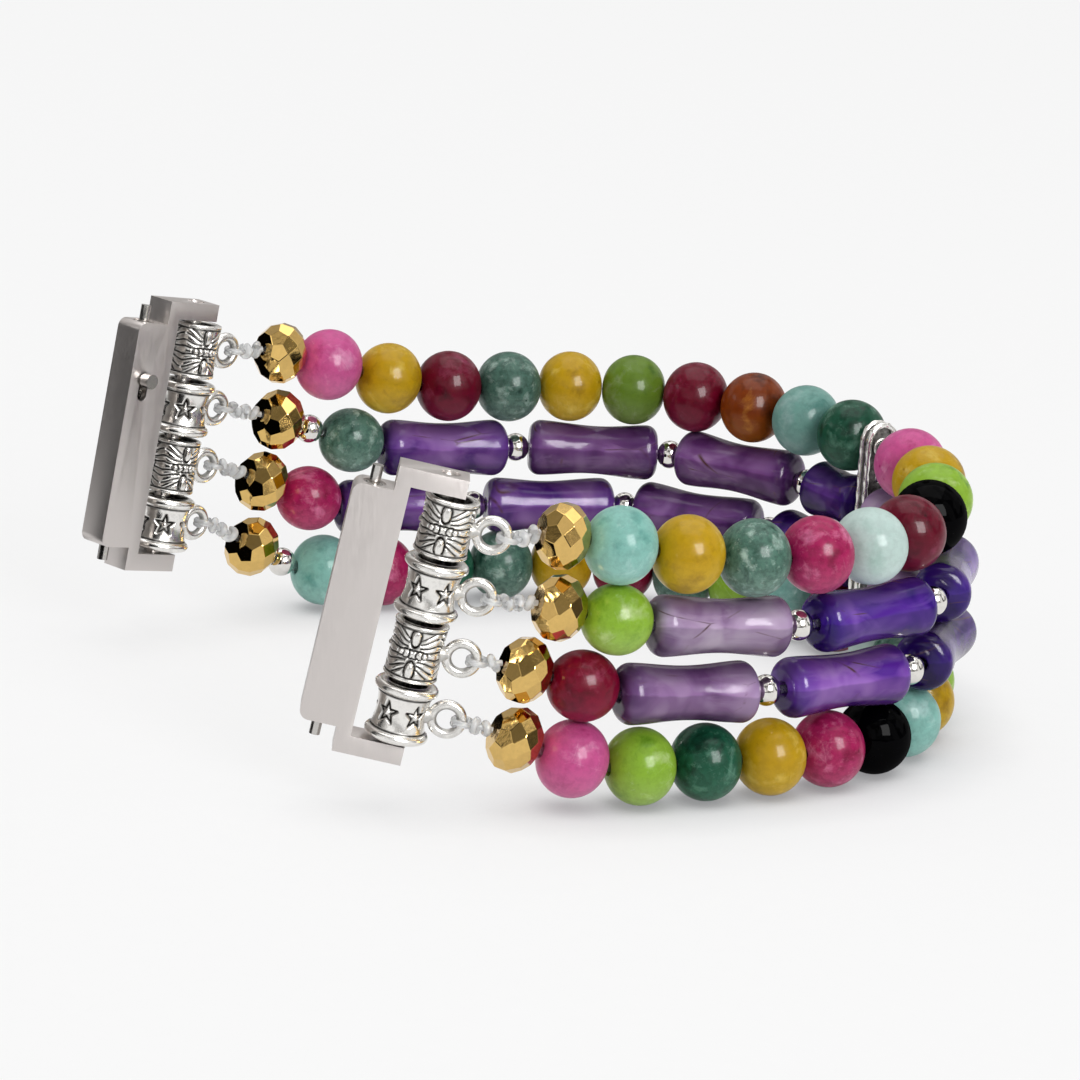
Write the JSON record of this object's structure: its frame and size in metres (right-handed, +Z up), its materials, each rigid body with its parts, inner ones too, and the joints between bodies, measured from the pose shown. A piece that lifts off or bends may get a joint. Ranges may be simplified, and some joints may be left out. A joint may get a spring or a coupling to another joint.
{
  "type": "stretch watch band",
  "caption": "Open loop of gemstone beads in four strands on elastic cord, with a divider and two quick release ends for a 20 mm watch.",
  "frame": {"origin": "on the surface that the band stands on, under the middle of its box", "axes": "+Z up, +X towards the closed back of the loop, -Y the near side"},
  "size_m": [0.0702, 0.0636, 0.0304],
  "materials": {
    "amethyst": "polished, cloudy, pale to deep purple",
    "antique_silver": "cast, tumbled, with black in the recesses",
    "bright_silver": "mirror polished",
    "clear_elastic": "clear, glossy",
    "gold_coating": "mirror gold coating on cut glass",
    "polished_gemstone": "polished, dyed and natural stones in eleven colours",
    "satin_steel": "satin, finely brushed",
    "spring_steel": "plain wire"
  },
  "bodies": {
    "back": {"divider_bar": "antique_silver", "back_round_beads": "polished_gemstone", "back_amethyst_tubes": "amethyst", "back_silver_balls": "bright_silver", "back_cords": "clear_elastic"},
    "near_corner": {"near_corner_round_beads": "polished_gemstone", "near_corner_amethyst_tubes": "amethyst", "near_corner_silver_balls": "bright_silver", "near_corner_cords": "clear_elastic"},
    "near_side": {"near_side_round_beads": "polished_gemstone", "near_side_amethyst_tubes": "amethyst", "near_side_cords": "clear_elastic"},
    "near_end": {"near_end_round_beads": "polished_gemstone", "near_end_cords": "clear_elastic", "near_gold_bead_1": "gold_coating", "near_gold_bead_2": "gold_coating", "near_gold_bead_3": "gold_coating", "near_gold_bead_4": "gold_coating", "near_bail_1": "antique_silver", "near_bail_2": "antique_silver", "near_bail_3": "antique_silver", "near_bail_4": "antique_silver"},
    "near_bar": {"near_end_bar": "satin_steel", "near_cross_rod": "satin_steel", "near_spring_bar": "satin_steel", "near_tip_spring": "spring_steel"},
    "near_tip": {"near_release_tip": "satin_steel"},
    "far_corner": {"far_corner_round_beads": "polished_gemstone", "far_corner_amethyst_tubes": "amethyst", "far_corner_silver_balls": "bright_silver", "far_corner_cords": "clear_elastic"},
    "far_side": {"far_side_round_beads": "polished_gemstone", "far_side_amethyst_tubes": "amethyst", "far_side_cords": "clear_elastic"},
    "far_end": {"far_end_round_beads": "polished_gemstone", "far_end_silver_balls": "bright_silver", "far_end_cords": "clear_elastic", "far_gold_bead_1": "gold_coating", "far_gold_bead_2": "gold_coating", "far_gold_bead_3": "gold_coating", "far_gold_bead_4": "gold_coating", "far_bail_1": "antique_silver", "far_bail_2": "antique_silver", "far_bail_3": "antique_silver", "far_bail_4": "antique_silver"},
    "far_bar": {"far_end_bar": "satin_steel", "far_cross_rod": "satin_steel", "far_spring_bar": "satin_steel", "far_tip_spring": "spring_steel"},
    "far_tip": {"far_release_tip": "satin_steel"}
  },
  "joints": [
    {"name": "near_corner_flex", "type": "hinge", "parent": "back", "child": "near_corner", "pos_m": [0.02167, -0.02504, 0.012], "axis": [0, 0, 1], "range_deg": [-1.5, 22]},
    {"name": "near_stretch", "type": "slide", "parent": "near_corner", "child": "near_side", "axis": [-1, 0, 0], "range_m": [0, 0.0035], "stiffness_N_per_m": 400, "springref_m": -0.0005},
    {"name": "near_end_flex", "type": "hinge", "parent": "near_side", "child": "near_end", "pos_m": [-0.00711, -0.02853, 0.012], "axis": [0, 0, 1], "range_deg": [-12, 12]},
    {"name": "near_bar_hinge", "type": "hinge", "parent": "near_end", "child": "near_bar", "pos_m": [-0.02286, -0.02489, 0.0159], "axis": [0.161, -0.065, 0.9848], "range_deg": [-60, 60]},
    {"name": "near_release", "type": "slide", "parent": "near_bar", "child": "near_tip", "axis": [-0.161, 0.065, -0.9848], "range_m": [0, 0.0014], "stiffness_N_per_m": 300, "springref_m": -0.002, "deforming": ["near_tip_spring"]},
    {"name": "far_corner_flex", "type": "hinge", "parent": "back", "child": "far_corner", "pos_m": [0.01984, 0.02483, 0.012], "axis": [0, 0, -1], "range_deg": [-3, 25]},
    {"name": "far_stretch", "type": "slide", "parent": "far_corner", "child": "far_side", "axis": [-1, 0, 0], "range_m": [0, 0.0035], "stiffness_N_per_m": 400, "springref_m": -0.0005},
    {"name": "far_end_flex", "type": "hinge", "parent": "far_side", "child": "far_end", "pos_m": [-0.00817, 0.02861, 0.012], "axis": [0, 0, 1], "range_deg": [-12, 12]},
    {"name": "far_bar_hinge", "type": "hinge", "parent": "far_end", "child": "far_bar", "pos_m": [-0.02646, 0.02489, 0.0179], "axis": [0.161, 0.065, 0.9848], "range_deg": [-60, 60]},
    {"name": "far_release", "type": "slide", "parent": "far_bar", "child": "far_tip", "axis": [-0.161, -0.065, -0.9848], "range_m": [0, 0.0014], "stiffness_N_per_m": 300, "springref_m": -0.002, "deforming": ["far_tip_spring"]}
  ],
  "couplings": [
    {"joint": "far_stretch", "follows": "near_stretch", "ratio": 1}
  ]
}
